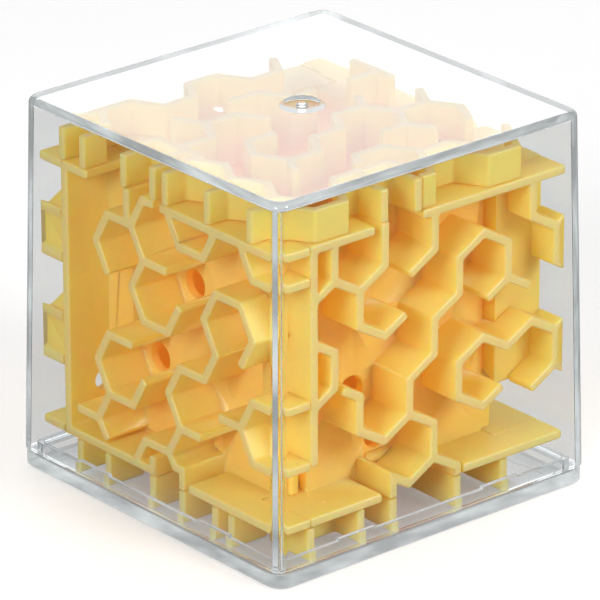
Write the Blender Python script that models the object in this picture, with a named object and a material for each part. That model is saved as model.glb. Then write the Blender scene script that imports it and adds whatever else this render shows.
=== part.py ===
"""Tilt maze cube: six moulded honeycomb panels form a hollow core, with a steel ball
running in their grooves, inside a clear hood that stands on a clear base tray.

The frame's origin is the middle of the tray's flat underside, +Z is up, and the cube's
faces are square to X and Y. Lengths below are millimetres and become metres in the meshes.
"""
import math

import bmesh
import bpy
from mathutils import Vector

MM = 0.001
GAP = 0.3                    # clearance between neighbouring pieces

# Case
BASE_HALF = 40.0             # half the width of the tray's flange
FLANGE_HEIGHT = 3.2
FLOOR_TOP = 2.2              # the tray's floor, which the core stands on
BASE_CORNER = 3.4            # plan radius of the flange's corners
HOOD_TOP = 80.0
HOOD_TOP_HALF = 38.5         # the hood tapers from the flange's width to this
HOOD_WALL = 1.7
HOOD_ROOF = 2.0
HOOD_CORNER = 2.0            # plan radius of the hood's upright edges
HOOD_EDGE = 0.7              # rounding along the roof's outer edge
RIM_TOP = 5.3                # upstand that locates the hood
RIM_WALL = 1.0
TAB_TOP = 5.8                # two raised tabs on each side of the upstand
TAB_LENGTH = 9.6
TAB_OFFSET = 18.8            # from the middle of a side to the middle of a tab
CORNER_STEPS = 5
GATE_RINGS = ((3.55, 80.0), (3.0, 79.25), (1.15, 78.95), (1.0, 79.55))   # radius, height
GATE_BULGE = ((4.6, 78.0), (4.1, 77.5), (2.4, 77.2))

# Maze core
CORE_CENTRE = 39.0           # height of the core's middle
ENVELOPE = 36.5              # from the core's middle to the tops of the maze walls
FLOOR = 26.3                 # from the core's middle to the floors of the grooves
PLATE = 2.0                  # thickness of a panel's floor
PLATE_BACK = FLOOR - PLATE
WALL = 1.9                   # thickness of a maze wall
HALF_WALL = WALL / 2
BORDER = 28.6                # from the middle of a panel to its border walls
WALL_HEIGHT = ENVELOPE - FLOOR
ROOT = -1.0                  # maze walls start inside their plate
PLATE_EDGE = BORDER + HALF_WALL
INNER_EDGE = PLATE_BACK - GAP                   # a plate's edge that butts against a neighbour
OVERHANG = PLATE_EDGE + GAP - FLOOR             # walls beyond that edge start this high
BEYOND = ENVELOPE + 1                           # walls that run off the core are drawn to here
ARCH_RADIUS = 2.2                               # small opening through one end wall
ARCH_ALONG = -19.6
ARCH_HEIGHT = 1.6

# Honeycomb pattern: half a cell's side, and half its width across the flats
CELL_SIDE = 7.425
HALF_SIDE = CELL_SIDE / 2
HALF_FLAT = CELL_SIDE * math.sqrt(3) / 2
PASS_HOLE = 3.0              # radius of the holes through a panel's floor
HOLE_SIDES = 20

# Where the ball crosses from panel to panel: (low, high) along the edge of a plate, which is
# notched there for a tab of the neighbouring plate
CORNER_PASS = (-27.65, -16.7)
LEFT_TOP_PASS = (-21.2, -10.6)
RIGHT_TOP_PASS = (-9.3, -3.4)
LEFT_BOTTOM_PASS = (-0.6, 6.2)
RIGHT_BOTTOM_PASS = (-7.0, 7.4)
CORNER_NOTCH_DEPTH = 22.2    # the corner notch starts this far from the panel's middle

# Ball, resting on the bottom border wall of the back right panel
BALL_RADIUS = 2.38
BALL_SEGMENTS = 20
BALL_RINGS = 12
BALL_START = -13.6           # along that panel, from its middle

YELLOW = (0.86, 0.56, 0.13)
CLEAR = (0.90, 0.93, 0.94)
STEEL = (0.62, 0.63, 0.64)


# ---------------------------------------------------------------- scene and materials

def clear_scene():
    for old in list(bpy.data.objects):
        bpy.data.objects.remove(old, do_unlink=True)


def material(name, colour, roughness, metallic=0.0, alpha=1.0):
    made = bpy.data.materials.new(name)
    made.use_nodes = True
    shader = made.node_tree.nodes["Principled BSDF"]
    shader.inputs["Base Color"].default_value = (*colour, 1.0)
    shader.inputs["Roughness"].default_value = roughness
    shader.inputs["Metallic"].default_value = metallic
    shader.inputs["Alpha"].default_value = alpha
    return made


def add_object(name, bm, mat, parent=None, smooth=None):
    bmesh.ops.recalc_face_normals(bm, faces=bm.faces)
    mesh = bpy.data.meshes.new(name)
    bm.to_mesh(mesh)
    bm.free()
    made = bpy.data.objects.new(name, mesh)
    bpy.context.collection.objects.link(made)
    made.parent = parent
    if mat is not None:
        mesh.materials.append(mat)
    if smooth is not None:
        mesh.shade_smooth()
        mesh.set_sharp_from_angle(angle=math.radians(smooth))
    return made


def add_empty(name, location, parent=None):
    made = bpy.data.objects.new(name, None)
    bpy.context.collection.objects.link(made)
    made.location = [c * MM for c in location]
    made.parent = parent
    return made


def apply_boolean(target, cutter, operation):
    """Combine target with cutter, then remove the cutter."""
    modifier = target.modifiers.new(operation.title(), "BOOLEAN")
    modifier.operation = operation
    modifier.solver = "EXACT"
    modifier.use_self = True
    modifier.object = cutter
    graph = bpy.context.evaluated_depsgraph_get()
    result = bpy.data.meshes.new_from_object(target.evaluated_get(graph))
    target.modifiers.remove(modifier)
    target.data = result
    bpy.data.objects.remove(cutter, do_unlink=True)


# ---------------------------------------------------------------- mesh helpers

def add_box(bm, low, high):
    """A closed box between two corners given in millimetres."""
    corners = [bm.verts.new((x * MM, y * MM, z * MM))
               for z in (low[2], high[2])
               for x, y in ((low[0], low[1]), (high[0], low[1]), (high[0], high[1]), (low[0], high[1]))]
    bottom, top = corners[:4], corners[4:]
    bm.faces.new(bottom[::-1])
    bm.faces.new(top)
    for i in range(4):
        j = (i + 1) % 4
        bm.faces.new((bottom[i], bottom[j], top[j], top[i]))


def add_cylinder(bm, centre, radius, low, high, sides=HOLE_SIDES):
    """A closed upright cylinder."""
    rings = [[bm.verts.new(((centre[0] + radius * math.cos(turn)) * MM,
                            (centre[1] + radius * math.sin(turn)) * MM, z * MM))
              for turn in (math.tau * i / sides for i in range(sides))]
             for z in (low, high)]
    bm.faces.new(rings[0][::-1])
    bm.faces.new(rings[1])
    bridge(bm, rings[0], rings[1])


def bridge(bm, lower, upper):
    """Join two rings that run the same way with quads."""
    count = len(lower)
    for i in range(count):
        j = (i + 1) % count
        bm.faces.new((lower[i], lower[j], upper[j], upper[i]))


def offset_points(path, distance):
    """Points beside a path, mitred at its corners."""
    points = [Vector(p) for p in path]
    normals = []
    for start, end in zip(points, points[1:]):
        along = (end - start).normalized()
        normals.append(Vector((-along.y, along.x)))
    result = []
    for i, point in enumerate(points):
        before = normals[max(i - 1, 0)]
        after = normals[min(i, len(normals) - 1)]
        result.append(point + (before + after) * (distance / (1 + before.dot(after))))
    return result


def add_wall(bm, path, low=ROOT, high=WALL_HEIGHT):
    """A maze wall of even thickness that follows a path of (u, v) points."""
    left = offset_points(path, HALF_WALL)
    right = offset_points(path, -HALF_WALL)
    columns = []
    for a, b in zip(left, right):
        columns.append([bm.verts.new((p.x * MM, p.y * MM, (FLOOR + w) * MM))
                        for p, w in ((a, low), (b, low), (b, high), (a, high))])
    bm.faces.new(columns[0])
    bm.faces.new(columns[-1][::-1])
    for first, second in zip(columns, columns[1:]):
        for i in range(4):
            j = (i + 1) % 4
            bm.faces.new((first[i], second[i], second[j], first[j]))


def rounded_ring(bm, half, radius, z):
    """A square ring of vertices with round corners."""
    ring = []
    for quarter in range(4):
        turn = math.pi / 2 * quarter
        centre = Vector((half - radius, half - radius))
        for step in range(CORNER_STEPS + 1):
            angle = math.pi / 2 * step / CORNER_STEPS
            corner = centre + Vector((math.cos(angle), math.sin(angle))) * radius
            x = corner.x * math.cos(turn) - corner.y * math.sin(turn)
            y = corner.x * math.sin(turn) + corner.y * math.cos(turn)
            ring.append(bm.verts.new((x * MM, y * MM, z * MM)))
    return ring


def round_ring(bm, radius, z):
    """A circle with as many vertices as a rounded ring, starting at the same corner."""
    count = 4 * (CORNER_STEPS + 1)
    first = math.pi / 4 - math.pi / count * (CORNER_STEPS)
    return [bm.verts.new((radius * math.cos(first + math.tau * i / count) * MM,
                          radius * math.sin(first + math.tau * i / count) * MM, z * MM))
            for i in range(count)]


def skin(bm, rings):
    """Close a list of rings into one body: both ends get a cap."""
    for lower, upper in zip(rings, rings[1:]):
        bridge(bm, lower, upper)
    bm.faces.new(rings[0][::-1])
    bm.faces.new(rings[-1])


# ---------------------------------------------------------------- case

def hood_half(z):
    """Half the hood's outer width at a height."""
    return BASE_HALF + (HOOD_TOP_HALF - BASE_HALF) * z / HOOD_TOP


def make_hood(mat, parent):
    """Clear hood: tapered walls, a roof, and the sunk moulding gate in its middle."""
    bm = bmesh.new()
    bottom = FLANGE_HEIGHT + GAP
    roof_under = HOOD_TOP - HOOD_ROOF
    inner_corner = HOOD_CORNER - HOOD_WALL / 2
    rings = [round_ring(bm, radius, z) for radius, z in reversed(GATE_BULGE)]
    for z in (roof_under, bottom):
        rings.append(rounded_ring(bm, hood_half(z) - HOOD_WALL, inner_corner, z))
    rings.append(rounded_ring(bm, hood_half(bottom), HOOD_CORNER, bottom))
    for step in range(3):
        angle = math.pi / 4 * step
        inset = HOOD_EDGE * (1 - math.cos(angle))
        z = HOOD_TOP - HOOD_EDGE * (1 - math.sin(angle))
        rings.append(rounded_ring(bm, hood_half(HOOD_TOP) - inset, HOOD_CORNER, z))
    rings += [round_ring(bm, radius, z) for radius, z in GATE_RINGS]
    skin(bm, rings)
    hood = add_object("clear_hood", bm, mat, parent, smooth=30)
    hood.location.z = -CORE_CENTRE * MM
    return hood


def make_base(mat):
    """Clear tray: a flange under the hood's edge and an upstand with raised tabs."""
    bm = bmesh.new()
    rim_outer = hood_half(RIM_TOP) - HOOD_WALL - GAP
    rim_inner = rim_outer - RIM_WALL
    rim_corner = HOOD_CORNER - HOOD_WALL / 2
    chamfer = 0.4
    rings = [rounded_ring(bm, BASE_HALF - chamfer, BASE_CORNER, 0.0),
             rounded_ring(bm, BASE_HALF, BASE_CORNER, chamfer),
             rounded_ring(bm, BASE_HALF, BASE_CORNER, FLANGE_HEIGHT),
             rounded_ring(bm, rim_outer, rim_corner, FLANGE_HEIGHT),
             rounded_ring(bm, rim_outer, rim_corner, RIM_TOP),
             rounded_ring(bm, rim_inner, rim_corner, RIM_TOP),
             rounded_ring(bm, rim_inner, rim_corner, FLOOR_TOP)]
    skin(bm, rings)
    base = add_object("base_tray", bm, mat)
    tabs = bmesh.new()
    foot = FLANGE_HEIGHT + GAP
    for across in (-1, 1):
        for offset in (-TAB_OFFSET, TAB_OFFSET):
            near, far = sorted((across * rim_inner, across * rim_outer))
            start, end = offset - TAB_LENGTH / 2, offset + TAB_LENGTH / 2
            add_box(tabs, (near, start, foot), (far, end, TAB_TOP))
            add_box(tabs, (start, near, foot), (end, far, TAB_TOP))
    apply_boolean(base, add_object("tabs", tabs, mat), "UNION")
    return base


# ---------------------------------------------------------------- maze panels

def level_cells(u0, v0):
    """Grid points of a honeycomb whose cells have level sides; cell middles are (3i, 2j)."""
    return lambda a, b: (u0 + a * HALF_SIDE, v0 + b * HALF_FLAT)


def upright_cells(u0, v0):
    """Grid points of a honeycomb whose cells have upright sides; cell middles are (2i, 3j)."""
    return lambda a, b: (u0 + a * HALF_FLAT, v0 + b * HALF_SIDE)


def add_arch(bm):
    """Cutter for the small arch through the end wall at the panel's low u edge."""
    columns = [[], []]
    for i in range(HOLE_SIDES):
        turn = math.tau * i / HOLE_SIDES
        v = ARCH_ALONG + ARCH_RADIUS * math.cos(turn)
        w = FLOOR + max(0.0, ARCH_HEIGHT + ARCH_RADIUS * math.sin(turn))
        for column, u in zip(columns, (-BORDER - WALL, -BORDER + WALL)):
            column.append(bm.verts.new((u * MM, v * MM, w * MM)))
    bm.faces.new(columns[0][::-1])
    bm.faces.new(columns[1])
    bridge(bm, *columns)


def make_panel(name, mat, core, reach, plate, cells, walls, rails, holes=(), notches=(),
               tabs=(), arch=False):
    """One moulded panel, flat on its back with its walls pointing up +Z.

    reach and plate are (u low, v low, u high, v high) of the whole panel and of its floor.
    walls are paths and holes are points of the honeycomb; rails are paths in millimetres.
    notches and tabs are rectangles taken from and added to the floor's edges.
    """
    low, high = PLATE_BACK - 1, ENVELOPE + 1
    bm = bmesh.new()
    add_box(bm, (plate[0], plate[1], PLATE_BACK), (plate[2], plate[3], FLOOR))
    panel = add_object(name, bm, mat, core)

    bm = bmesh.new()
    for path in walls:
        add_wall(bm, [cells(*point) for point in path])
    for path in rails:
        add_wall(bm, path)
    apply_boolean(panel, add_object("walls", bm, mat, core), "UNION")

    bm = bmesh.new()
    add_box(bm, (reach[0], reach[1], low), (reach[2], reach[3], high))
    apply_boolean(panel, add_object("reach", bm, mat, core), "INTERSECT")

    bm = bmesh.new()
    for edge in overhangs(reach, plate):
        add_box(bm, (edge[0], edge[1], low), (edge[2], edge[3], FLOOR + OVERHANG))
    apply_boolean(panel, add_object("overhangs", bm, mat, core), "DIFFERENCE")

    bm = bmesh.new()
    for notch in notches:
        add_box(bm, (notch[0], notch[1], low), (notch[2], notch[3], FLOOR))
    for point in holes:
        add_cylinder(bm, cells(*point), PASS_HOLE, low, FLOOR + 1)
    if arch:
        add_arch(bm)
    apply_boolean(panel, add_object("openings", bm, mat, core), "DIFFERENCE")

    bm = bmesh.new()
    for tab in tabs:
        add_box(bm, (tab[0], tab[1], PLATE_BACK), (tab[2], tab[3], FLOOR))
    apply_boolean(panel, add_object("tabs", bm, mat, core), "UNION")
    return panel


def overhangs(reach, plate):
    """The strips between a panel's floor and its reach, where its walls hang over a neighbour."""
    strips = []
    if plate[0] > reach[0]:
        strips.append((reach[0] - 1, reach[1] - 1, plate[0], reach[3] + 1))
    if plate[2] < reach[2]:
        strips.append((plate[2], reach[1] - 1, reach[2] + 1, reach[3] + 1))
    if plate[1] > reach[1]:
        strips.append((reach[0] - 1, reach[1] - 1, reach[2] + 1, plate[1]))
    if plate[3] < reach[3]:
        strips.append((reach[0] - 1, plate[3], reach[2] + 1, reach[3] + 1))
    return strips


# Panels are drawn as seen from outside: u to the right, v up
SIDE_REACH = (-PLATE_EDGE, -PLATE_EDGE, ENVELOPE, PLATE_EDGE)
SIDE_PLATE = (-PLATE_EDGE, -PLATE_EDGE, INNER_EDGE, PLATE_EDGE)
END_REACH = (-ENVELOPE, -ENVELOPE, ENVELOPE, ENVELOPE)
END_PLATE = (-INNER_EDGE, -INNER_EDGE, INNER_EDGE, INNER_EDGE)
CORNER_NOTCH = (-BEYOND, CORNER_PASS[0], -CORNER_NOTCH_DEPTH, CORNER_PASS[1])
CORNER_TAB = (INNER_EDGE - 1, CORNER_PASS[0] + GAP, FLOOR, CORNER_PASS[1] - GAP)

LEFT_CELLS = level_cells(-0.4, BORDER - 3 * HALF_FLAT)
LEFT_WALLS = (
    ((-4, 0), (-5, 1), (-4, 2), (-2, 2), (-1, 1), (-2, 0), (-1, -1), (1, -1), (2, 0)),
    ((-1, 1), (1, 1)),
    ((-2, 2), (-1, 3), (-0.1, 3)),
    ((-2.35, 2), (-2.35, 4)),
    ((1, 3), (2, 2), (4, 2), (5, 3)),
    ((7, 3), (8, 2), (11, 2)),
    ((7, -1), (8, 0), (7, 1), (5, 1), (4, 0), (5, -1), (4, -2), (2, -2), (1, -3), (2, -4),
     (1, -5), (-1, -5), (-1.8, -5.8)),
    ((2, -4), (3.7, -4)),
    ((1, -5), (1.5, -5.4), (2.1, -5.4), (2.1, -7)),
    ((-2, -2), (-4, -2), (-5, -3), (-4, -4), (-2, -4), (-1, -3)),
    ((-4, -4), (-5, -5), (-6.8, -5)),
    ((-5, -5), (-4.2, -5.6)),
    ((11, -2), (8, -2), (7, -3), (8, -4), (11, -4)),
    ((7, -3), (5.2, -3)),
    ((-0.38, -5.4), (-0.38, -7)),
)
LEFT_RAILS = (
    ((-BORDER, -BEYOND), (-BORDER, BEYOND)),
    ((-BEYOND, BORDER), (-21.4, BORDER)),
    ((1.2, BORDER), (BEYOND, BORDER)),
    ((-BEYOND, -BORDER), (-1.8, -BORDER)),
    ((9.5, -BORDER), (BEYOND, -BORDER)),
)
LEFT_HOLES = ((0, 0), (-3, -3))

RIGHT_CELLS = upright_cells(-10.5, 13.2)
RIGHT_WALLS = (
    ((0, 5), (0, 2), (-1, 1), (-1, -1), (0, -2), (0.85, -1.15)),
    ((-1, 1), (-2, 2), (-2, 4)),
    ((-2, 2), (-2.8, 1.2)),
    ((1, 1), (2, 2), (2, 4), (1.59, 4.41)),
    ((4.15, -1.85), (5, -1), (5, 1), (4, 2), (3, 1), (3, -1), (2, -2), (2, -4), (1, -5), (1, -7),
     (0, -8), (-1, -7), (-1, -5), (-1.65, -4.35)),
    ((5, -1), (5.9, -1.9)),
    ((1, -7), (2, -8), (2, -10), (1, -11), (0.36, -10.36), (0.36, -13)),
    ((2, -10), (2.97, -10.97), (2.97, -13)),
    ((4.8, -7.2), (4, -8), (3, -7), (3, -5), (4, -4), (5, -5), (6, -4), (7, -5), (7, -7),
     (6, -8)),
    ((7, -5), (8, -4)),
    ((7, -7), (8, -8)),
    ((6, 4), (6, 2), (7, 1), (7, -1), (8, -2)),
    ((7, 1), (8, 2)),
    ((-3, -1), (-2, -2), (-2, -4), (-3, -5)),
)
RIGHT_RAILS = (
    ((-BORDER, CORNER_PASS[1]), (-BORDER, BEYOND)),
    ((-BEYOND, BORDER), (-13.2, BORDER)),
    ((-0.7, BORDER), (BEYOND, BORDER)),
    ((-BEYOND, -BORDER), (-11.2, -BORDER)),
    ((10.1, -BORDER), (BEYOND, -BORDER)),
)
RIGHT_HOLES = ((0, -6), (1, -9))

END_CELLS = level_cells(-12.6, 3 * HALF_FLAT - BORDER)
MIDDLE_WALLS = (
    ((0.9, 1), (-1, 1), (-2, 0), (-1, -1), (1, -1), (2, 0), (4, 0), (5, 1), (7, 1), (8, 0),
     (7, -1), (5.3, -1)),
    ((-1, -1), (-1.9, -1.9)),
    ((7, 1), (7.8, 1.8)),
    ((8, 0), (9.5, 0)),
    ((7, -1), (7.9, -1.9)),
    ((2, 4), (4, 4), (5, 3), (6.6, 3)),
    ((2, 2), (1, 3), (-1, 3), (-2, 4)),
)
TOP_WALLS = MIDDLE_WALLS + (
    ((9.4, 0), (10, 0), (11, 1)),
    ((10, 0), (11, -1), (10, -2)),
    ((-1, 3), (-2, 2), (-4.3, 2)),
    ((-7, 1), (-5, 1), (-4, 0), (-5, -1), (-7, -1)),
    ((-5, -1), (-4, -2), (-5, -3), (-7, -3)),
    ((-5, -3), (-4, -4), (-2, -4), (-1, -3), (2.83, -3)),
    ((3.2, -4), (4, -4), (5, -3), (7, -3), (8, -4), (10, -4), (11, -3)),
    ((5, -3), (4, -2), (2, -2), (1.4, -2.6)),
    ((-7, 5), (-5, 5), (-4, 6)),
    ((-7, 6), (-2, 6), (-1, 5), (1, 5), (2, 6), (4, 6), (5, 5), (7, 5), (8, 6)),
    ((9, 3), (11.1, 3)),
)
TOP_RAILS = (
    ((-BEYOND, 10.0), (-BORDER, 10.0), (-BORDER, -2.9), (-BEYOND, -2.9)),
    ((-BEYOND, 0.95), (-BORDER, 0.95)),
    ((-10.7, -BEYOND), (-10.7, -BORDER)),
    ((-2.1, -BEYOND), (-2.1, -BORDER)),
    ((BORDER, 5.6), (BORDER, 18.2)),
)
TIE_START = 20.0             # rails that tie an overhanging wall to the floor start here
BOTTOM_RAILS = (
    ((-BEYOND, -1.8), (-TIE_START, -1.8)),
    ((-BEYOND, 7.4), (-TIE_START, 7.4)),
    ((-BEYOND, 17.5), (-BORDER, 17.5), (-BORDER, 22.5), (-BEYOND, 22.5)),
    ((-BORDER, 20.0), (-TIE_START, 20.0)),
    ((-BEYOND, -25.0), (-BORDER, -25.0), (-BORDER, -16.0), (-BEYOND, -16.0)),
    ((-BORDER, -20.5), (-TIE_START, -20.5)),
    ((-29.5, BEYOND), (-29.5, BORDER), (-16.6, BORDER)),
    ((-16.6, BEYOND), (-16.6, TIE_START)),
    ((-8.2, BEYOND), (-8.2, TIE_START)),
    ((8.6, BEYOND), (8.6, TIE_START)),
    ((21.0, BEYOND), (21.0, TIE_START)),
    ((BEYOND, 8.2), (TIE_START, 8.2)),
    ((BEYOND, -8.6), (TIE_START, -8.6)),
    ((-8.6, -BEYOND), (-8.6, -TIE_START)),
    ((8.2, -BEYOND), (8.2, -TIE_START)),
)


def side_notches(top_pass, bottom_pass, corner):
    """Notches in a side panel's floor, one for each neighbour's tab."""
    notches = [(top_pass[0], INNER_EDGE, top_pass[1], BEYOND),
               (bottom_pass[0], -BEYOND, bottom_pass[1], -INNER_EDGE)]
    return notches + [CORNER_NOTCH] * corner


def end_tabs(low_u, high_u, low_v, high_v):
    """A tab on each edge of the top or bottom floor, from (low, high) along that edge."""
    inner, outer = INNER_EDGE - 1, FLOOR
    return [(-outer, low_u[0] + GAP, -inner, low_u[1] - GAP),
            (inner, high_u[0] + GAP, outer, high_u[1] - GAP),
            (low_v[0] + GAP, -outer, low_v[1] - GAP, -inner),
            (high_v[0] + GAP, inner, high_v[1] - GAP, outer)]


def flipped(span):
    return -span[1], -span[0]


def make_core(mat):
    """The six panels, each turned from flat to its own face of the cube."""
    core = add_empty("maze_core", (0, 0, CORE_CENTRE))
    right_angle = math.pi / 2

    left = make_panel("front_left_panel", mat, core, SIDE_REACH, SIDE_PLATE, LEFT_CELLS,
                      LEFT_WALLS, LEFT_RAILS, LEFT_HOLES,
                      side_notches(LEFT_TOP_PASS, LEFT_BOTTOM_PASS, False), [CORNER_TAB], arch=True)
    left.rotation_euler = (right_angle, 0, -right_angle)

    sides = (("front_right_panel", 0, [CORNER_TAB]),
             ("back_right_panel", right_angle, [CORNER_TAB]),
             ("back_left_panel", math.pi, []))
    for name, turn, tabs in sides:
        panel = make_panel(name, mat, core, SIDE_REACH, SIDE_PLATE, RIGHT_CELLS, RIGHT_WALLS,
                           RIGHT_RAILS, RIGHT_HOLES,
                           side_notches(RIGHT_TOP_PASS, RIGHT_BOTTOM_PASS, True), tabs)
        panel.rotation_euler = (right_angle, 0, turn)

    make_panel("top_panel", mat, core, END_REACH, END_PLATE, END_CELLS, TOP_WALLS, TOP_RAILS,
               tabs=end_tabs(flipped(LEFT_TOP_PASS), RIGHT_TOP_PASS, RIGHT_TOP_PASS,
                             flipped(RIGHT_TOP_PASS)))
    bottom = make_panel("bottom_panel", mat, core, END_REACH, END_PLATE, END_CELLS, MIDDLE_WALLS,
                        BOTTOM_RAILS,
                        tabs=end_tabs(LEFT_BOTTOM_PASS, flipped(RIGHT_BOTTOM_PASS),
                                      flipped(RIGHT_BOTTOM_PASS), RIGHT_BOTTOM_PASS))
    bottom.rotation_euler = (math.pi, 0, 0)
    return core


def make_ball(mat, core):
    bm = bmesh.new()
    bmesh.ops.create_uvsphere(bm, u_segments=BALL_SEGMENTS, v_segments=BALL_RINGS,
                              radius=BALL_RADIUS * MM)
    ball = add_object("steel_ball", bm, mat, core, smooth=60)
    clear = BALL_RADIUS + GAP
    ball.location = Vector((FLOOR + clear, BALL_START, clear + HALF_WALL - BORDER)) * MM
    return ball


def main():
    clear_scene()
    clear = material("clear_plastic", CLEAR, 0.05, alpha=0.25)
    yellow = material("yellow_plastic", YELLOW, 0.35)
    steel = material("polished_steel", STEEL, 0.12, metallic=1.0)
    make_base(clear)
    core = make_core(yellow)
    make_ball(steel, core)
    make_hood(clear, core)


main()
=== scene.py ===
"""Looks for the tilt maze cube: rounded yellow maze panels, a polished ball, and a clear case
that bends and mirrors the light, on a white sweep with a painted pool of light, under soft lamps.

Lengths in the constants are millimetres unless their names say otherwise.
"""

import math

import bmesh
import bpy
from mathutils import Matrix, Vector
from mathutils.bvhtree import BVHTree


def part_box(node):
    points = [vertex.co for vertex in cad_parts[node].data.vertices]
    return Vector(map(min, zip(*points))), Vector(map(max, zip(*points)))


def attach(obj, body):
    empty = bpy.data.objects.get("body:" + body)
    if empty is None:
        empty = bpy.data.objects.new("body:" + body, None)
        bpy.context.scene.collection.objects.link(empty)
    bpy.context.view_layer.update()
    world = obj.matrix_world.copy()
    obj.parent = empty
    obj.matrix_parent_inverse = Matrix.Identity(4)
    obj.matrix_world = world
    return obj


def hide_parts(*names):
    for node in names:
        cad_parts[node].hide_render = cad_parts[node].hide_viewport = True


MM = 0.001
LOOK = "_look"               # ends the materials' names; the rest is the record's slot

# Camera
CAMERA_AZIMUTH = -40.2       # degrees, 0 looks along +Y
CAMERA_ELEVATION = 22.86
CAMERA_ROLL = 0.126
CAMERA_DISTANCE = 1204.8
CAMERA_TARGET = (-0.93, -0.36, 37.94)
CAMERA_LENS = 361.4

# Mesh helpers
SMOOTH_BELOW = 30            # degrees; edges that turn more are shaded sharp
FLAT_FACE_WEIGHT = 90        # how far big faces outweigh small ones in the shading normals
FLAT_ANGLE = 0.5             # degrees; faces closer than this are one face
WELD = 0.002                 # vertices closer than this are one
ALONG = 0.99                 # cosine above which two directions count as one

# Maze panels
HEX_ROUND = 0.85             # rounding of the walls' upright edges at honeycomb corners
END_ROUND = 0.5              # and at their free ends
CREST_ROUND = 0.42           # rounding along the walls' crests
HEX_ANGLES = (45, 75)        # degrees an edge turns at a honeycomb corner
CREST_ANGLE = 60             # and at least at a crest
SHORTEST_CREST = 0.084       # shorter edges stay out of the rounding
HEX_STEPS, END_STEPS, CREST_STEPS = 4, 3, 3
STRAY = 1.3                  # a face whose middle is this far off the CAD solid is a fault
SHARP_WITHIN = 7.0           # crests stay sharp this near to such a fault
ROUNDS = 3                   # tries at a panel
CORE_MIDDLE = 39.0           # height of the core's middle
CREST_SHEEN_AT = (36.05, 36.4)     # from that middle, where the crests' painted sheen begins and is full
GROOVE_SHADE_AT = (26.3, 34.0)       # painted shade: from the grooves' floors, painted a deeper yellow, to the paler upper walls
PAINTED_GLOW_AT = (25.2, 26.2)     # where a painted glow stands for light from inside the core
PAINTED_GLOW_STRENGTH = 0.14           # and how strong that painted glow is

# Case
CORNER_STEPS = 10            # sides of a round corner in plan
ROOF_STEPS = 6               # and of the roof's outer edge
CASE_SPREAD = 0.7            # how much wider each side of the case is than its CAD solids
FLANGE_FROM = 38.6           # the tray's flange reaches from here to its edge
HOOD_WALL = 2.05             # thickness of the sides
HOOD_ROOF = 2.0              # and of the roof
HOOD_CORNER = 2.6            # plan radius outside; the inside corners are nearly sharp
HOOD_INNER = 0.3
HOOD_TAPER = 1.5             # how much further in each side of the hood is at this height
TAPER_HEIGHT = 80.0
HOOD_EDGE = 1.3              # rounding along the roof's outer edge
LIP_ROUND = 0.25             # bevel along the hood's lower edge
TRAY_ROUND = 0.15
TRAY_ANGLE = 30              # degrees; edges of the tray that turn more are rounded
ROOF_PASSES = 0.45           # share of the lamps' light that the roof lets down
EDGE_SHADE = 0.55            # painted shade: how much darker the floor is painted where it is seen through one edge of the case
GATE_SUNK = ((3.75, 0.0), (3.55, -0.12), (3.45, -0.5), (2.9, -0.78), (1.35, -0.85), (1.15, -0.7),
             (1.0, -0.2), (0.75, 0.0))          # radius, height over the roof
GATE_BULGE = ((1.2, -2.8), (3.4, -2.65), (4.3, -2.3), (4.8, -2.02))

# Colours
GROOVE_PAINTED_SHADE = (0.98, 0.81, 0.20, 1)         # painted shade in the grooves
YELLOW_HIGH = (0.97, 0.87, 0.25, 1)         # on the upper walls
YELLOW_CLOUD = (0.98, 0.88, 0.30, 1)
# painted sheen: the crests are painted paler and greener, as reflection and light through their thin
# edges show them
CREST_PAINTED_SHEEN = (0.80, 0.82, 0.36, 1)
LIGHT_THROUGH = (1.0, 0.70, 0.05, 1)        # light that crosses a yellow wall
THROUGH_SHARE = 0.38
# painted glow in the holes and on the core's inner sides
PAINTED_GLOW_COLOUR = (1.0, 0.34, 0.01, 1)
SCATTER_RATIO = (1.0, 0.5, 0.12)            # how far red, green and blue go under the surface
SCATTER_LENGTH = 0.003                      # metres
CLEAR_TINT = (0.90, 0.918, 0.93, 1)
SHADOW_TINT = (0.98, 0.985, 0.985, 1)
DUST_COLOUR = (0.9, 0.9, 0.88, 1)
# painted glow of light that the case's walls guide
PAINTED_GUIDED_COLOUR = (0.95, 1.0, 1.0, 1)
STEEL_COLOUR = (0.63, 0.63, 0.64, 1)
WHITE = (1, 1, 1, 1)
# painted pool of light: the floor is white near the cube and dark grey far off
FLOOR_NEAR = (0.70, 0.70, 0.70, 1)
FLOOR_FAR = (0.26, 0.26, 0.27, 1)
# painted dark reflection: the floor turns this dark where the case mirrors it
PAINTED_DARK_REFLECTION = (0.05, 0.05, 0.05, 1)

# Dust, and the painted glow of light in the case's walls
DUST_PER_METRE = 420.0       # cells that may hold a speck
DUST_SIZE = 0.055            # in cells
DUST_SHARE = 0.5             # how much of the light a speck catches
PAINTED_GUIDED_GREY = (0.40, 0.80)   # radiance of the painted glow, an emission standing for light that a case wall has guided along itself

# Studio
MIDDLE = (0, 0, 0.04)        # metres, where the lamps point
LAMPS = (                    # name, side in metres, watts, azimuth, elevation
    ("overhead", 0.8, 0.3, 0, 85),
    ("right_softbox", 0.4, 6.6, 20, 26),
    ("left_softbox", 0.4, 7.0, -70, 26),
)
LAMP_DISTANCE = 1.0          # metres
FLOOR_RADIUS = 3.0           # metres
FLOOR_DROP = 0.0003          # metres below the tray
DARK_REFLECTION_NEAR = 0.045            # metres from the cube's middle where the floor's painted dark reflection begins
DARK_REFLECTION_FAR = 0.065
PAINTED_LIGHT_POOL = (0.36, 0.75)    # metres from the middle, where the painted pool of light on the floor begins and ends fading to dark grey
FLOOR_GLOW = 0.32            # a light table's own light, which softens the shadow
DARK_REFLECTION_GUIDED = 0.7            # share of the painted dark reflection kept where the case's walls have guided the light
BACK_WALL = (139.8, 23.0)    # azimuth and elevation that the roof mirrors to the camera
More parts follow.
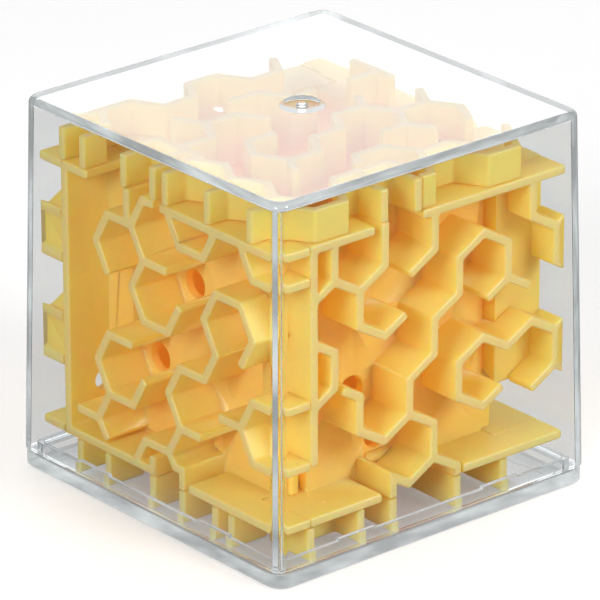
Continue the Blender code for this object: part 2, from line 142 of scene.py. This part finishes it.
BACK_INNER = 12.0            # degrees around it that are fully bright
BACK_OUTER = 28.0
BACK_STRENGTH = 1.65
ROOM_STRENGTH = 0.4

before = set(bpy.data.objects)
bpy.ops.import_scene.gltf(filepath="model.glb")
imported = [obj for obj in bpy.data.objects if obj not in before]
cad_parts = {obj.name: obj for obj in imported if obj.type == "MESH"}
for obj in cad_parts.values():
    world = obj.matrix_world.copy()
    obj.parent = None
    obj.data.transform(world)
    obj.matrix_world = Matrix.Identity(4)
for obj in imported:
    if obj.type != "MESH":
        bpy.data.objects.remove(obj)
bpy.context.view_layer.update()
collection = bpy.context.collection


# ---------------------------------------------------------------- node helpers

class Nodes:
    """A material's node tree, with short calls to add nodes and link them."""

    def __init__(self, tree):
        self.tree = tree
        tree.nodes.clear()

    def add(self, kind, **values):
        node = self.tree.nodes.new(kind)
        for name, value in values.items():
            if hasattr(node, name):
                setattr(node, name, value)
            else:
                node.inputs[name.replace("_", " ")].default_value = value
        return node

    def link(self, source, target):
        self.tree.links.new(source, target)

    def mix_colour(self, factor, first, second):
        node = self.tree.nodes.new("ShaderNodeMix")
        node.data_type = "RGBA"
        for socket, value in zip((node.inputs[0], node.inputs[6], node.inputs[7]),
                                 (factor, first, second)):
            if hasattr(value, "links"):
                self.link(value, socket)
            else:
                socket.default_value = value
        return node.outputs[2]


def new_material(name):
    made = bpy.data.materials.new(name + LOOK)
    made.use_nodes = True
    return made, Nodes(made.node_tree)


def noise(nodes, scale, detail=3.0, roughness=0.5):
    """Noise over the object's own space; scale is in features per metre."""
    where = nodes.add("ShaderNodeTexCoord")
    made = nodes.add("ShaderNodeTexNoise", Scale=scale, Detail=detail, Roughness=roughness)
    nodes.link(where.outputs["Object"], made.inputs["Vector"])
    return made


def ramp(nodes, value, low, high, first=0.0, second=1.0):
    """Map a value between two limits to another pair, clamped."""
    node = nodes.add("ShaderNodeMapRange")
    for name, number in (("From Min", low), ("From Max", high), ("To Min", first), ("To Max", second)):
        node.inputs[name].default_value = number
    nodes.link(value, node.inputs["Value"])
    return node.outputs["Result"]


def core_reach(nodes):
    """How far a point of the core is from its middle, along the axis where it is furthest."""
    where = nodes.add("ShaderNodeTexCoord")
    middle = nodes.add("ShaderNodeVectorMath", operation="SUBTRACT")
    middle.inputs[1].default_value = (0, 0, CORE_MIDDLE * MM)
    size = nodes.add("ShaderNodeVectorMath", operation="ABSOLUTE")
    parts = nodes.add("ShaderNodeSeparateXYZ")
    nodes.link(where.outputs["Object"], middle.inputs[0])
    nodes.link(middle.outputs[0], size.inputs[0])
    nodes.link(size.outputs[0], parts.inputs[0])
    wide = nodes.add("ShaderNodeMath", operation="MAXIMUM")
    reach = nodes.add("ShaderNodeMath", operation="MAXIMUM")
    nodes.link(parts.outputs["X"], wide.inputs[0])
    nodes.link(parts.outputs["Y"], wide.inputs[1])
    nodes.link(wide.outputs[0], reach.inputs[0])
    nodes.link(parts.outputs["Z"], reach.inputs[1])
    return reach.outputs[0]


def dust_specks(nodes):
    """A mask of small sharp specks, gathered in a few patches."""
    where = nodes.add("ShaderNodeTexCoord")
    cells = nodes.add("ShaderNodeTexVoronoi", Scale=DUST_PER_METRE)
    nodes.link(where.outputs["Object"], cells.inputs["Vector"])
    specks = ramp(nodes, cells.outputs["Distance"], DUST_SIZE * 0.6, DUST_SIZE, DUST_SHARE, 0.0)
    patches = noise(nodes, 45.0, 3.0)
    both = nodes.add("ShaderNodeMath", operation="MULTIPLY")
    nodes.link(specks, both.inputs[0])
    nodes.link(ramp(nodes, patches.outputs["Fac"], 0.50, 0.62), both.inputs[1])
    return both.outputs[0]


# ---------------------------------------------------------------- materials

def yellow_plastic():
    """Satin moulded plastic. Red light travels far in it, so corners glow orange. The grooves are
    painted a deeper yellow as painted shade, thin crests paler and greener as a painted sheen, and holes
    and the core's inside glow orange with a painted glow."""
    made, nodes = new_material("yellow_plastic")
    out = nodes.add("ShaderNodeOutputMaterial")
    shader = nodes.add("ShaderNodeBsdfPrincipled", IOR=1.5)
    reach = core_reach(nodes)
    # painted shade: the yellow is painted deeper towards the grooves' floors
    body = nodes.mix_colour(ramp(nodes, reach, *[r * MM for r in GROOVE_SHADE_AT]), GROOVE_PAINTED_SHADE, YELLOW_HIGH)
    cloud = noise(nodes, 60.0, 2.0)
    body = nodes.mix_colour(ramp(nodes, cloud.outputs["Fac"], 0.35, 0.65, 0.0, 0.3), body, YELLOW_CLOUD)
    # painted sheen on the crests
    tint = nodes.mix_colour(ramp(nodes, reach, *[r * MM for r in CREST_SHEEN_AT]), body, CREST_PAINTED_SHEEN)
    nodes.link(tint, shader.inputs["Base Color"])
    # painted glow: emission deep in the core and in the holes stands for light from inside the core
    shader.inputs["Emission Color"].default_value = PAINTED_GLOW_COLOUR
    nodes.link(ramp(nodes, reach, *[r * MM for r in PAINTED_GLOW_AT], PAINTED_GLOW_STRENGTH, 0.0),
               shader.inputs["Emission Strength"])
    grain = noise(nodes, 2500.0, 4.0, 0.6)
    nodes.link(ramp(nodes, grain.outputs["Fac"], 0.3, 0.7, 0.32, 0.46), shader.inputs["Roughness"])
    bump = nodes.add("ShaderNodeBump", Strength=0.10, Distance=0.0001)
    nodes.link(grain.outputs["Fac"], bump.inputs["Height"])
    nodes.link(bump.outputs["Normal"], shader.inputs["Normal"])
    shader.inputs["Subsurface Weight"].default_value = 0.8
    shader.inputs["Subsurface Radius"].default_value = SCATTER_RATIO
    shader.inputs["Subsurface Scale"].default_value = SCATTER_LENGTH
    glow = nodes.add("ShaderNodeBsdfTranslucent", Color=LIGHT_THROUGH)
    mix = nodes.add("ShaderNodeMixShader", Fac=THROUGH_SHARE)
    nodes.link(shader.outputs[0], mix.inputs[1])
    nodes.link(glow.outputs[0], mix.inputs[2])
    nodes.link(mix.outputs[0], out.inputs["Surface"])
    return made


def clear_plastic():
    """Polished styrene with a few specks of dust. Lamps shine straight through it, so that what
    it covers is lit; light that its walls have guided is a painted glow, a grey emission in streaks."""
    made, nodes = new_material("clear_plastic")
    out = nodes.add("ShaderNodeOutputMaterial")
    glass = nodes.add("ShaderNodeBsdfPrincipled", IOR=1.59)
    glass.inputs["Transmission Weight"].default_value = 1.0
    glass.inputs["Base Color"].default_value = CLEAR_TINT
    haze = noise(nodes, 180.0, 5.0, 0.65)
    nodes.link(ramp(nodes, haze.outputs["Fac"], 0.45, 0.75, 0.0, 0.03), glass.inputs["Roughness"])
    dust = nodes.add("ShaderNodeBsdfDiffuse", Color=DUST_COLOUR)
    dusty = nodes.add("ShaderNodeMixShader")
    nodes.link(dust_specks(nodes), dusty.inputs["Fac"])
    nodes.link(glass.outputs[0], dusty.inputs[1])
    nodes.link(dust.outputs[0], dusty.inputs[2])

    rays = nodes.add("ShaderNodeLightPath")
    inside = nodes.add("ShaderNodeNewGeometry")
    guided = nodes.add("ShaderNodeMath", operation="MULTIPLY")
    nodes.link(ramp(nodes, rays.outputs["Glossy Depth"], 1.4, 1.6), guided.inputs[0])
    nodes.link(inside.outputs["Backfacing"], guided.inputs[1])
    # painted glow: after two mirrorings, the walls' inner sides give out grey light in streaks, standing
    # for light the walls guide
    grey = nodes.add("ShaderNodeEmission", Color=PAINTED_GUIDED_COLOUR)
    streaks = noise(nodes, 70.0, 4.0)
    nodes.link(ramp(nodes, streaks.outputs["Fac"], 0.38, 0.66, *PAINTED_GUIDED_GREY), grey.inputs["Strength"])
    body = nodes.add("ShaderNodeMixShader")
    nodes.link(guided.outputs[0], body.inputs["Fac"])
    nodes.link(dusty.outputs[0], body.inputs[1])
    nodes.link(grey.outputs[0], body.inputs[2])

    through = nodes.add("ShaderNodeBsdfTransparent")
    facing = nodes.add("ShaderNodeSeparateXYZ")
    nodes.link(inside.outputs["True Normal"], facing.inputs[0])
    upward = nodes.add("ShaderNodeMath", operation="ABSOLUTE")
    nodes.link(facing.outputs["Z"], upward.inputs[0])
    passed = math.sqrt(ROOF_PASSES)
    is_roof = ramp(nodes, upward.outputs[0], 0.9, 0.95)
    nodes.link(nodes.mix_colour(is_roof, SHADOW_TINT, (passed, passed, passed, 1)),
               through.inputs["Color"])
    either = nodes.add("ShaderNodeMath", operation="MAXIMUM")
    nodes.link(rays.outputs["Is Shadow Ray"], either.inputs[0])
    nodes.link(rays.outputs["Is Diffuse Ray"], either.inputs[1])
    mix = nodes.add("ShaderNodeMixShader")
    nodes.link(either.outputs[0], mix.inputs["Fac"])
    nodes.link(body.outputs[0], mix.inputs[1])
    nodes.link(through.outputs[0], mix.inputs[2])
    nodes.link(mix.outputs[0], out.inputs["Surface"])
    return made


def polished_steel():
    made, nodes = new_material("polished_steel")
    out = nodes.add("ShaderNodeOutputMaterial")
    shader = nodes.add("ShaderNodeBsdfPrincipled", Metallic=1.0)
    shader.inputs["Base Color"].default_value = STEEL_COLOUR
    wear = noise(nodes, 900.0, 5.0, 0.7)
    nodes.link(ramp(nodes, wear.outputs["Fac"], 0.4, 0.7, 0.06, 0.22), shader.inputs["Roughness"])
    nodes.link(shader.outputs[0], out.inputs["Surface"])
    return made


def floor_white():
    """Matt white sweep with a painted pool of light. It is painted dark in the case's mirror images, a
    painted dark reflection, except close by, and it is painted darker seen through a single edge of the
    case, a painted shade."""
    made, nodes = new_material("floor_white")
    out = nodes.add("ShaderNodeOutputMaterial")
    shader = nodes.add("ShaderNodeBsdfPrincipled", Roughness=0.6)
    dark_reflection = nodes.add("ShaderNodeBsdfDiffuse", Color=PAINTED_DARK_REFLECTION)
    where = nodes.add("ShaderNodeTexCoord")
    distance = nodes.add("ShaderNodeVectorMath", operation="LENGTH")
    nodes.link(where.outputs["Object"], distance.inputs[0])
    # painted pool of light on the floor
    pool = nodes.mix_colour(ramp(nodes, distance.outputs["Value"], *PAINTED_LIGHT_POOL), FLOOR_NEAR, FLOOR_FAR)
    nodes.link(pool, shader.inputs["Base Color"])
    shader.inputs["Emission Color"].default_value = WHITE
    shader.inputs["Emission Strength"].default_value = FLOOR_GLOW
    # painted dark reflection and painted shade: the floor is painted dark where the case mirrors it, and
    # darker seen through one edge of the case
    rays = nodes.add("ShaderNodeLightPath")
    once = ramp(nodes, rays.outputs["Glossy Depth"], 0.4, 0.6)
    often = ramp(nodes, rays.outputs["Glossy Depth"], 1.4, 1.6, 1.0, DARK_REFLECTION_GUIDED)
    mirrored = nodes.add("ShaderNodeMath", operation="MULTIPLY")
    nodes.link(once, mirrored.inputs[0])
    nodes.link(often, mirrored.inputs[1])
    share = nodes.add("ShaderNodeMath", operation="MULTIPLY")
    nodes.link(ramp(nodes, distance.outputs["Value"], DARK_REFLECTION_NEAR, DARK_REFLECTION_FAR), share.inputs[0])
    nodes.link(mirrored.outputs[0], share.inputs[1])
    # painted shade on the floor seen through one edge of the case
    edge = nodes.add("ShaderNodeMath", operation="COMPARE")
    nodes.link(rays.outputs["Transmission Depth"], edge.inputs[0])
    edge.inputs[1].default_value, edge.inputs[2].default_value = 2.0, 0.5
    shade = nodes.add("ShaderNodeMath", operation="MULTIPLY_ADD", use_clamp=True)
    nodes.link(edge.outputs[0], shade.inputs[0])
    shade.inputs[1].default_value = EDGE_SHADE
    nodes.link(share.outputs[0], shade.inputs[2])
    mix = nodes.add("ShaderNodeMixShader")
    nodes.link(shade.outputs[0], mix.inputs["Fac"])
    nodes.link(shader.outputs[0], mix.inputs[1])
    nodes.link(dark_reflection.outputs[0], mix.inputs[2])
    nodes.link(mix.outputs[0], out.inputs["Surface"])
    return made


# ---------------------------------------------------------------- mesh helpers

def finish_piece(name, bm, mat, body, node, smooth=SMOOTH_BELOW):
    """Turn a mesh into a piece that stands for a CAD node and rides on its body."""
    bmesh.ops.recalc_face_normals(bm, faces=bm.faces)
    mesh = bpy.data.meshes.new(name)
    bm.to_mesh(mesh)
    bm.free()
    mesh.shade_smooth()
    mesh.set_sharp_from_angle(angle=math.radians(smooth))
    mesh.materials.append(mat)
    piece = bpy.data.objects.new(name, mesh)
    collection.objects.link(piece)
    flat_faces = piece.modifiers.new("flat_faces", "WEIGHTED_NORMAL")
    flat_faces.keep_sharp = True
    flat_faces.weight = FLAT_FACE_WEIGHT
    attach(piece, body)
    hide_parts(node)


def arc_points(radius, start, end, steps):
    """Points on a quarter of a circle about (0, 0), from one angle in degrees to another."""
    angles = [math.radians(start + (end - start) * i / steps) for i in range(steps + 1)]
    return [(radius * math.cos(a), radius * math.sin(a)) for a in angles]


def square_ring(bm, half, radius, z):
    """A square ring of vertices with round corners."""
    ring = []
    for quarter in range(4):
        turn = Matrix.Rotation(math.pi / 2 * quarter, 2)
        for x, y in arc_points(radius, 0, 90, CORNER_STEPS):
            point = turn @ Vector((half - radius + x, half - radius + y))
            ring.append(bm.verts.new((point.x * MM, point.y * MM, z * MM)))
    return ring


def circle_ring(bm, radius, z):
    """A circle with one vertex for each of a square ring's."""
    count = 4 * (CORNER_STEPS + 1)
    first = math.pi / 4 - math.pi / count * CORNER_STEPS
    angles = [first + math.tau * i / count for i in range(count)]
    return [bm.verts.new((radius * math.cos(a) * MM, radius * math.sin(a) * MM, z * MM)) for a in angles]


def skin(bm, rings):
    """Join rings into one closed body with a cap at both ends."""
    for lower, upper in zip(rings, rings[1:]):
        for i, corner in enumerate(lower):
            j = (i + 1) % len(lower)
            bm.faces.new((corner, lower[j], upper[j], upper[i]))
    bm.faces.new(rings[0][::-1])
    bm.faces.new(rings[-1])


# ---------------------------------------------------------------- case

def make_hood(mat):
    """Tapered clear hood with a rounded roof edge and the sunk gate in the roof's middle."""
    low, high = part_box("clear_hood")
    bottom, top = low.z / MM, high.z / MM
    foot_half = high.x / MM + CASE_SPREAD
    slope = HOOD_TAPER / TAPER_HEIGHT

    def half(z):
        return foot_half - slope * (z - bottom)

    roof_under = top - HOOD_ROOF
    bm = bmesh.new()
    rings = [circle_ring(bm, r, top + z) for r, z in GATE_BULGE]
    inner_half = half(roof_under) - HOOD_WALL
    for x, z in arc_points(HOOD_INNER, 90, 0, 4):
        inset = HOOD_INNER - x
        rings.append(square_ring(bm, inner_half - inset, HOOD_INNER, roof_under - HOOD_INNER + z))
    rings.append(square_ring(bm, half(bottom) - HOOD_WALL, HOOD_INNER, bottom + LIP_ROUND))
    rings.append(square_ring(bm, half(bottom) - HOOD_WALL + LIP_ROUND, HOOD_INNER, bottom))
    rings.append(square_ring(bm, half(bottom) - LIP_ROUND, HOOD_CORNER, bottom))
    rings.append(square_ring(bm, half(bottom), HOOD_CORNER, bottom + LIP_ROUND))
    for x, z in arc_points(HOOD_EDGE, 0, 90, ROOF_STEPS):
        rings.append(square_ring(bm, half(top) - HOOD_EDGE + x, HOOD_CORNER, top - HOOD_EDGE + z))
    rings += [circle_ring(bm, r, top + z) for r, z in GATE_SUNK]
    skin(bm, rings)
    finish_piece("hood_shell", bm, mat, "hood", "clear_hood")


def make_tray(mat):
    """The clear tray, with the CAD solid's edges rounded and its flange as wide as the hood."""
    bm = cad_mesh("base_tray")
    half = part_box("base_tray")[1].x
    for vert in bm.verts:
        if max(abs(vert.co.x), abs(vert.co.y)) > FLANGE_FROM * MM:
            vert.co.xy *= 1 + CASE_SPREAD * MM / half
    corners = [edge for edge in bm.edges if turn_of(edge) > TRAY_ANGLE]
    bmesh.ops.bevel(bm, geom=corners, offset=TRAY_ROUND * MM, segments=2, profile=0.5, affect="EDGES",
                    clamp_overlap=True)
    finish_piece("tray", bm, mat, "base", "base_tray")


# ---------------------------------------------------------------- maze panels

def cad_mesh(node):
    """A CAD node's mesh, with its triangles joined into flat faces."""
    bm = bmesh.new()
    bm.from_mesh(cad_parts[node].data)
    bmesh.ops.remove_doubles(bm, verts=bm.verts, dist=WELD * MM)
    bmesh.ops.dissolve_limit(bm, angle_limit=math.radians(FLAT_ANGLE), verts=bm.verts, edges=bm.edges)
    return bm


def turn_of(edge):
    """How far the surface turns at an edge, in degrees; positive where it bulges."""
    return math.degrees(edge.calc_face_angle_signed(0.0))


def is_upright(edge, outward):
    along = (edge.verts[1].co - edge.verts[0].co).normalized()
    return abs(along.dot(outward)) > ALONG


def room_beside(edge, outward):
    """The shortest edge that meets an upright edge, which limits how much it can be rounded."""
    lengths = [other.calc_length() for vert in edge.verts for other in vert.link_edges
               if other is not edge and not is_upright(other, outward)]
    return min(lengths)


def round_edges(bm, edges, radius, segments):
    bmesh.ops.bevel(bm, geom=edges, offset=radius * MM, segments=segments, profile=0.5,
                    affect="EDGES", clamp_overlap=False)


def strays(bm, node):
    """The middles of faces that lie away from the CAD node's surface."""
    solid = BVHTree.FromBMesh(cad_mesh(node))
    middles = [face.calc_center_median() for face in bm.faces]
    return [middle for middle in middles if solid.find_nearest(middle)[3] > STRAY * MM]


def make_panel(node, outward, mat):
    """A maze panel. Its crests are rounded, except near places where that makes stray faces."""
    sharp = []
    for _ in range(ROUNDS):
        bm = rounded_panel(node, outward, sharp)
        faults = strays(bm, node)
        if not faults:
            break
        sharp += faults
    finish_piece(node.replace("panel", "maze"), bm, mat, "core", node)


def rounded_panel(node, outward, sharp):
    """A panel's mesh with rounded honeycomb corners, wall ends and crests, which stay sharp
    near some points."""
    bm = cad_mesh(node)
    upright = [edge for edge in bm.edges if is_upright(edge, outward)]
    hexes, ends = [], []
    for edge in upright:
        turn = abs(turn_of(edge))
        room = room_beside(edge, outward)
        if HEX_ANGLES[0] < turn < HEX_ANGLES[1] and room > 2 * HEX_ROUND * MM:
            hexes.append(edge)
        elif turn > HEX_ANGLES[1] and room > 2 * END_ROUND * MM:
            ends.append(edge)
    offset = HEX_ROUND * math.tan(math.radians(30))
    round_edges(bm, hexes, offset, HEX_STEPS)
    ends = [edge for edge in ends if edge.is_valid]
    round_edges(bm, ends, END_ROUND, END_STEPS)
    crests = []
    for edge in bm.edges:
        faces = edge.link_faces
        if len(faces) == 2 and turn_of(edge) > CREST_ANGLE and not is_upright(edge, outward):
            facing = [face.normal.dot(outward) for face in faces]
            middle = (edge.verts[0].co + edge.verts[1].co) / 2
            near = any((middle - point).length < SHARP_WITHIN * MM for point in sharp)
            if max(facing) > ALONG and edge.calc_length() > SHORTEST_CREST * MM and not near:
                crests.append(edge)
    round_edges(bm, crests, CREST_ROUND, CREST_STEPS)
    bmesh.ops.triangulate(bm, faces=bm.faces)
    return bm


# ---------------------------------------------------------------- ball

def make_ball(mat):
    """A true round ball, with its flat parting band polished away."""
    low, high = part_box("steel_ball")
    bm = bmesh.new()
    bmesh.ops.create_icosphere(bm, subdivisions=5, radius=(high.z - low.z) / 2,
                               matrix=Matrix.Translation((low + high) / 2))
    finish_piece("ball", bm, mat, "ball", "steel_ball", smooth=180)


# ---------------------------------------------------------------- studio

def add_lamp(name, size, power, azimuth, elevation):
    """A square soft lamp; its azimuth is where it stands, counted like the camera's."""
    back = direction(azimuth, elevation)
    data = bpy.data.lights.new(name, "AREA")
    data.shape = "SQUARE"
    data.size = size
    data.energy = power
    lamp = bpy.data.objects.new(name, data)
    lamp.location = Vector(MIDDLE) + back * LAMP_DISTANCE
    lamp.rotation_euler = (-back).to_track_quat("-Z", "Y").to_euler()
    collection.objects.link(lamp)


def make_floor():
    bm = bmesh.new()
    bmesh.ops.create_circle(bm, cap_ends=True, segments=96, radius=FLOOR_RADIUS)
    mesh = bpy.data.meshes.new("floor")
    bm.to_mesh(mesh)
    bm.free()
    mesh.materials.append(floor_white())
    floor = bpy.data.objects.new("floor", mesh)
    floor.location.z = -FLOOR_DROP
    collection.objects.link(floor)


def direction(azimuth, elevation):
    """A unit vector towards an azimuth and elevation in degrees, counted like the camera's."""
    a, e = math.radians(azimuth), math.radians(elevation)
    return Vector((math.sin(a) * math.cos(e), -math.cos(a) * math.cos(e), math.sin(e)))


def make_world():
    """A pale room with one bright wall, which the roof mirrors."""
    world = bpy.data.worlds.new("studio")
    bpy.context.scene.world = world
    world.use_nodes = True
    nodes = Nodes(world.node_tree)
    out = nodes.add("ShaderNodeOutputWorld")
    sky = nodes.add("ShaderNodeBackground", Color=WHITE)
    where = nodes.add("ShaderNodeTexCoord")
    towards = nodes.add("ShaderNodeVectorMath", operation="DOT_PRODUCT")
    towards.inputs[1].default_value = direction(*BACK_WALL)
    nodes.link(where.outputs["Generated"], towards.inputs[0])
    glow = ramp(nodes, towards.outputs["Value"], math.cos(math.radians(BACK_OUTER)),
                math.cos(math.radians(BACK_INNER)), ROOM_STRENGTH, ROOM_STRENGTH + BACK_STRENGTH)
    nodes.link(glow, sky.inputs["Strength"])
    nodes.link(sky.outputs[0], out.inputs["Surface"])


def make_camera():
    back = direction(CAMERA_AZIMUTH, CAMERA_ELEVATION)
    data = bpy.data.cameras.new("camera")
    data.lens = CAMERA_LENS
    data.clip_start, data.clip_end = 0.05, 20
    camera = bpy.data.objects.new("camera", data)
    camera.location = (Vector(CAMERA_TARGET) + back * CAMERA_DISTANCE) * MM
    aim = (-back).to_track_quat("-Z", "Y").to_matrix().to_4x4()
    camera.rotation_euler = (aim @ Matrix.Rotation(math.radians(-CAMERA_ROLL), 4, "Z")).to_euler()
    collection.objects.link(camera)
    bpy.context.scene.camera = camera


def make_studio():
    make_floor()
    make_world()
    make_camera()
    for name, size, power, azimuth, elevation in LAMPS:
        add_lamp(name, size, power, azimuth, elevation)
    scene = bpy.context.scene
    scene.view_settings.view_transform = "Standard"
    scene.cycles.max_bounces = 32
    scene.cycles.glossy_bounces = 20
    scene.cycles.transmission_bounces = 24
    scene.cycles.diffuse_bounces = 16
    scene.cycles.transparent_max_bounces = 24


# ---------------------------------------------------------------- the object

OUTWARD = {
    "front_left_panel": (-1, 0, 0),
    "front_right_panel": (0, -1, 0),
    "back_right_panel": (1, 0, 0),
    "back_left_panel": (0, 1, 0),
    "top_panel": (0, 0, 1),
    "bottom_panel": (0, 0, -1),
}


def main():
    clear, yellow, steel = clear_plastic(), yellow_plastic(), polished_steel()
    make_hood(clear)
    make_tray(clear)
    for node, outward in OUTWARD.items():
        make_panel(node, Vector(outward), yellow)
    make_ball(steel)
    make_studio()


main()
